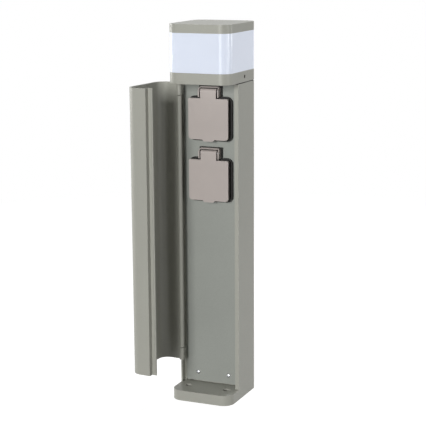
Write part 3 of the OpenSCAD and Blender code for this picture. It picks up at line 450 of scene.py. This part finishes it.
def screw_profile(screw, length):
    """(radius, height) points from the tip of the shank to the crown of the head, which seats at 0."""
    depth = 0.16 * screw.pitch
    taper = 0.8 * screw.shank_r
    neck = -0.3 * screw.pitch
    rim = 0.3 * screw.head_h
    # The share of the head's radius that its crown is flat over
    flat = 0.42
    turns = max(2, int((length - screw.shank_r) / screw.pitch))
    profile = [(0, -length * MM)]
    for k in range(turns * THREAD_STEPS + 1):
        height = -length + taper + k * screw.pitch / THREAD_STEPS
        if height > neck:
            break
        profile.append((thread_radius(screw, depth, k / THREAD_STEPS), height * MM))
    head = [(screw.shank_r - depth, 0.0), (screw.head_r * 0.96, 0.0),
            (screw.head_r, 0.06 * screw.head_h), (screw.head_r, rim)]
    for k in range(1, DOME_STEPS):
        angle = math.radians(90 * k / DOME_STEPS)
        head.append((screw.head_r * (flat + (1 - flat) * math.cos(angle)),
                     rim + (screw.head_h - rim) * math.sin(angle)))
    head.append((0, screw.head_h))
    return profile + [(radius * MM, height * MM) for radius, height in head]


def screw_mesh(screw, length):
    """A screw with its head above height 0, its threaded shank below and a recess in its crown."""
    bm = bmesh.new()
    lathe(bm, screw_profile(screw, length), SCREW_SIDES)
    bmesh.ops.recalc_face_normals(bm, faces=bm.faces)
    mesh = bpy.data.meshes.new("screw")
    bm.to_mesh(mesh)
    bm.free()
    head_r, head_h = screw.head_r * MM, screw.head_h * MM
    if screw.drive == "cross":
        cutter = cross_cutter(width=0.26 * head_r, arm=0.62 * head_r, depth=0.55 * head_h)
    else:
        cutter = hex_cutter(radius=0.52 * head_r, depth=1.1 * head_h)
    bmesh.ops.translate(cutter, verts=cutter.verts, vec=(0, 0, head_h))
    return cut_by(mesh, cutter)


SOCKET_SCREW = Screw((0, -1, 0), 1.5, 2.6, 1.6, "cross", 0.8)
SCREWS = {
    "panel_screws": Screw((0, -1, 0), 1.6, 2.5, 1.6, "cross", 0.8),
    "bracket_screws": Screw((0, 0, 1), 1.5, 2.6, 1.6, "cross", 0.8),
    "knuckle_screws": Screw((1, 0, 0), 1.2, 2.0, 1.0, "cross", 0.6),
    "carrier_screws": Screw((0, 0, 1), 1.6, 3.3, 2.4, "cross", 0.8),
    "board_screws": Screw((0, 0, 1), 1.2, 2.2, 1.3, "cross", 0.6),
    "driver_screws": Screw((0, 0, 1), 1.3, 2.3, 1.3, "cross", 0.6),
    "base_screws": Screw((0, 0, -1), 1.6, 3.3, 2.4, "hex", 0.8),
    "tie_screws": Screw((0, 0, -1), 1.9, 3.5, 2.4, "hex", 0.8),
    "upper_screws": SOCKET_SCREW,
    "lower_screws": SOCKET_SCREW,
}
# How far each screw is turned in degrees, so that the recesses don't all point one way
FIRST_TURN = 11
NEXT_TURN = 37
# Fasteners that aren't bright steel on the real post
FASTENER_FINISH = {"knuckle_screws": "lacquer", "hinge_pins": "dark_steel", "grub_screws": "dark_steel"}


def turned_screws(node):
    """Real screws in place of a node's plain ones, each on its solid's own axis and length."""
    screw = SCREWS[node]
    towards = Vector(screw.towards)
    along = max(range(3), key=lambda i: abs(towards[i]))
    bm = bmesh.new()
    shape = None
    for k, (low, high) in enumerate(islands(node)):
        if shape is None:
            shape = screw_mesh(screw, (high - low)[along] / MM - screw.head_h)
        seat = (low + high) / 2
        seat[along] = (high if towards[along] > 0 else low)[along] - towards[along] * screw.head_h * MM
        turn = Matrix.Rotation(math.radians(NEXT_TURN * k + FIRST_TURN), 4, "Z")
        place = Matrix.Translation(seat) @ towards.to_track_quat("Z", "Y").to_matrix().to_4x4() @ turn
        copy = shape.copy()
        copy.transform(place)
        bm.from_mesh(copy)
    mesh = bpy.data.meshes.new(node + "_turned")
    bm.to_mesh(mesh)
    bm.free()
    smooth(mesh, 32.0)
    return settle(link(node + "_turned", mesh), node)


for node in SCREWS:
    turned_screws(node)


# Springs

def wire_along(name, points, wire_mm, sides=8):
    """A round wire swept along points, with closed ends."""
    bm = bmesh.new()
    rings = []
    side = None
    angles = [2 * math.pi * j / sides for j in range(sides)]
    for k, point in enumerate(points):
        ahead = points[min(k + 1, len(points) - 1)] - points[max(k - 1, 0)]
        ahead.normalize()
        if side is None:
            side = ahead.orthogonal()
        side = (side - ahead * side.dot(ahead)).normalized()
        other = ahead.cross(side)
        rings.append([bm.verts.new(point + (side * math.cos(a) + other * math.sin(a)) * wire_mm / 2 * MM)
                      for a in angles])
    for low, high in zip(rings, rings[1:]):
        for j in range(sides):
            i = (j + 1) % sides
            bm.faces.new((low[j], low[i], high[i], high[j]))
    bm.faces.new(rings[0][::-1])
    bm.faces.new(rings[-1])
    bmesh.ops.recalc_face_normals(bm, faces=bm.faces)
    mesh = bpy.data.meshes.new(name)
    bm.to_mesh(mesh)
    bm.free()
    smooth(mesh, 50.0)
    return link(name, mesh)


def helix(start, end, radius_mm, turns, end_pitch=1.0, steps=24):
    """Points of a coil from start to end. Its first and last turns take end_pitch of a turn's share."""
    axis = end - start
    ahead = axis.normalized()
    side = ahead.cross(Vector((0, 0, 1))).normalized()
    other = ahead.cross(side)
    count = round(turns * steps)
    first = 1.0 / turns
    low = first * end_pitch
    points = []
    for k in range(count + 1):
        share = k / count
        if share < first:
            along = share * end_pitch
        elif share > 1 - first:
            along = 1 - (1 - share) * end_pitch
        else:
            along = low + (1 - 2 * low) * (share - first) / (1 - 2 * first)
        a = 2 * math.pi * k / steps
        points.append(start + axis * along + (side * math.cos(a) + other * math.sin(a)) * radius_mm * MM)
    return points


# Wire in mm, and the share of the shutter spring's length that is left when the shutter is open
SHUTTER_SPRING = {"wire": 0.3, "turns": 13, "keep": 0.446}
LID_SPRING = {"wire": 0.42, "turns": 12.25}


def pressed_spring(node, wire, turns):
    """A coil along X with closed ends, in the space of the node's plain tube."""
    low, high = (Vector(corner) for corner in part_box(node))
    middle = (low + high) / 2
    radius = (high.z - low.z) / 2 / MM - wire / 2
    start = Vector((low.x + wire / 2 * MM, middle.y, middle.z))
    end = Vector((high.x - wire / 2 * MM, middle.y, middle.z))
    points = helix(start, end, radius, turns, end_pitch=0.35)
    return settle(wire_along(node + "_coil", points, wire), node)


def turned_spring(node, wire, turns):
    """A close coil round the lid's pin, whose last end is a leg back to the flange."""
    low, high = (Vector(corner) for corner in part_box(node))
    outer = (high.z - low.z) / 2
    axis_y, axis_z = low.y + outer, low.z + outer
    start = Vector((low.x + wire / 2 * MM, axis_y, axis_z))
    end = Vector((high.x - wire / 2 * MM, axis_y, axis_z))
    points = helix(start, end, outer / MM - wire / 2, turns)
    leg_end = Vector((points[-1].x, high.y, points[-1].z))
    for share in (0.1, 0.5, 1.0):
        points.append(points[-1].lerp(leg_end, share))
    return settle(wire_along(node + "_coil", points, wire), node)


for key in SOCKETS:
    shutter_spring = key + "_shutter_spring"
    coil = pressed_spring(shutter_spring, SHUTTER_SPRING["wire"], SHUTTER_SPRING["turns"])
    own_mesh(coil)
    turned_spring(key + "_lid_spring", LID_SPRING["wire"], LID_SPRING["turns"])


# Materials of the CAD nodes that still show, and of the fasteners with a finish of their own

for node, obj in NODES.items():
    if not obj.hide_render:
        paint(obj, SLOTS[node])
for node, finish_name in FASTENER_FINISH.items():
    paint(bpy.data.objects.get(node + "_turned") or NODES[node], finish_name)


# Studio: white floor, soft lamps and the camera

def lamp(name, azimuth, elevation, distance, width, height, share, target=(0.0, 0.0, 0.25)):
    """A soft lamp, placed as seen from the post. share is what it adds to a surface that faces it."""
    a = math.radians(azimuth)
    e = math.radians(elevation)
    out = Vector((math.sin(a) * math.cos(e), -math.cos(a) * math.cos(e), math.sin(e)))
    data = bpy.data.lights.new(name, "AREA")
    data.shape = "RECTANGLE"
    data.size = width
    data.size_y = height
    data.energy = share * (math.pi * distance) ** 2
    obj = bpy.data.objects.new(name, data)
    obj.location = Vector(target) + out * distance
    obj.rotation_mode = "QUATERNION"
    obj.rotation_quaternion = out.to_track_quat("Z", "Y")
    bpy.context.scene.collection.objects.link(obj)


def seen_directly(tree):
    """1 for rays from the camera, and for those that gloss or clear parts send on, else 0."""
    path = tree.nodes.new("ShaderNodeLightPath")
    found = path.outputs["Is Camera Ray"]
    for name in ("Is Glossy Ray", "Is Transmission Ray"):
        either = tree.nodes.new("ShaderNodeMath")
        either.operation = "MAXIMUM"
        tree.links.new(found, either.inputs[0])
        tree.links.new(path.outputs[name], either.inputs[1])
        found = either.outputs[0]
    return found


def white_world(ambient):
    """A world that looks white, and lights the object by no more than ambient."""
    world = bpy.data.worlds.new("white_room")
    bpy.context.scene.world = world
    world.use_nodes = True
    tree = world.node_tree
    background = tree.nodes["Background"]
    background.inputs["Color"].default_value = (1, 1, 1, 1)
    strength = tree.nodes.new("ShaderNodeMapRange")
    tree.links.new(seen_directly(tree), strength.inputs["Value"])
    strength.inputs["To Min"].default_value = ambient
    strength.inputs["To Max"].default_value = 1.0
    tree.links.new(strength.outputs[0], background.inputs["Strength"])


def floor(half_size, bounce, near=0.5, far=1.3, shadow_base=0.84, paper=0.45):
    """White floor. Near the post it shows the post's soft shadow, and further out it is plain white."""
    bm = bmesh.new()
    bmesh.ops.create_grid(bm, x_segments=8, y_segments=8, size=half_size)
    mesh = bpy.data.meshes.new("floor")
    bm.to_mesh(mesh)
    bm.free()
    obj = link("floor", mesh)
    obj.location.z = -0.05 * MM
    material = bpy.data.materials.new("floor_white")
    material.use_nodes = True
    tree = material.node_tree
    tree.nodes.remove(tree.nodes["Principled BSDF"])

    def ramp(value, low, high):
        node = tree.nodes.new("ShaderNodeMapRange")
        tree.links.new(value, node.inputs["Value"])
        for key, number in (("From Min", near), ("From Max", far), ("To Min", low), ("To Max", high)):
            node.inputs[key].default_value = number
        return node.outputs[0]

    place = tree.nodes.new("ShaderNodeTexCoord").outputs["Object"]
    distance = tree.nodes.new("ShaderNodeVectorMath")
    distance.operation = "LENGTH"
    tree.links.new(place, distance.inputs[0])
    away = distance.outputs["Value"]
    glow = tree.nodes.new("ShaderNodeEmission")
    tree.links.new(ramp(away, shadow_base, 1.0), glow.inputs["Strength"])
    lit = tree.nodes.new("ShaderNodeBsdfDiffuse")
    tree.links.new(ramp(away, paper, 0.0), lit.inputs["Color"])
    seen = tree.nodes.new("ShaderNodeAddShader")
    tree.links.new(glow.outputs[0], seen.inputs[0])
    tree.links.new(lit.outputs[0], seen.inputs[1])
    dull = tree.nodes.new("ShaderNodeBsdfDiffuse")
    dull.inputs["Color"].default_value = (bounce, bounce, bounce, 1)
    chosen = tree.nodes.new("ShaderNodeMixShader")
    tree.links.new(seen_directly(tree), chosen.inputs[0])
    tree.links.new(dull.outputs[0], chosen.inputs[1])
    tree.links.new(seen.outputs[0], chosen.inputs[2])
    tree.links.new(chosen.outputs[0], tree.nodes["Material Output"].inputs["Surface"])
    mesh.materials.append(material)


def camera():
    """The camera as solved from the photograph's edges: it looks down a little, from the right."""
    yaw, pitch, roll = (math.radians(v) for v in (23.62, 11.57, -0.38))
    target = Vector((-0.48, 0.0, 224.0)) * MM
    distance = 1611.9 * MM
    back = Vector((math.sin(yaw) * math.cos(pitch), -math.cos(yaw) * math.cos(pitch), math.sin(pitch)))
    right = Vector((math.cos(yaw), math.sin(yaw), 0.0))
    up = back.cross(right)
    rolled_right = math.cos(roll) * right + math.sin(roll) * up
    rolled_up = -math.sin(roll) * right + math.cos(roll) * up
    data = bpy.data.cameras.new("camera")
    data.sensor_width = 36.0
    data.lens = 114.12
    data.clip_start = 0.05
    obj = bpy.data.objects.new("camera", data)
    axes = Matrix((rolled_right, rolled_up, back)).transposed()
    obj.matrix_world = Matrix.Translation(target + back * distance) @ axes.to_4x4()
    bpy.context.scene.collection.objects.link(obj)
    bpy.context.scene.camera = obj


camera()
white_world(ambient=0.01)
floor(half_size=8.0, bounce=0.08)
lamp("front", azimuth=-2.5, elevation=12, distance=4.0, width=1.1, height=1.3, share=0.7)
lamp("front_low", azimuth=6, elevation=3, distance=2.0, width=0.8, height=0.5, share=0.11)
lamp("right_low", azimuth=72, elevation=3, distance=2.0, width=0.45, height=0.5, share=0.05)
lamp("right", azimuth=90, elevation=7, distance=4.0, width=0.8, height=1.4, share=0.15)
lamp("right_back", azimuth=130, elevation=9, distance=4.0, width=1.4, height=1.6, share=0.24)
lamp("left", azimuth=-95, elevation=5, distance=4.0, width=2.0, height=1.2, share=0.42)
lamp("back", azimuth=170, elevation=42, distance=4.0, width=2.0, height=1.6, share=0.46)
bpy.context.scene.view_settings.view_transform = "Standard"
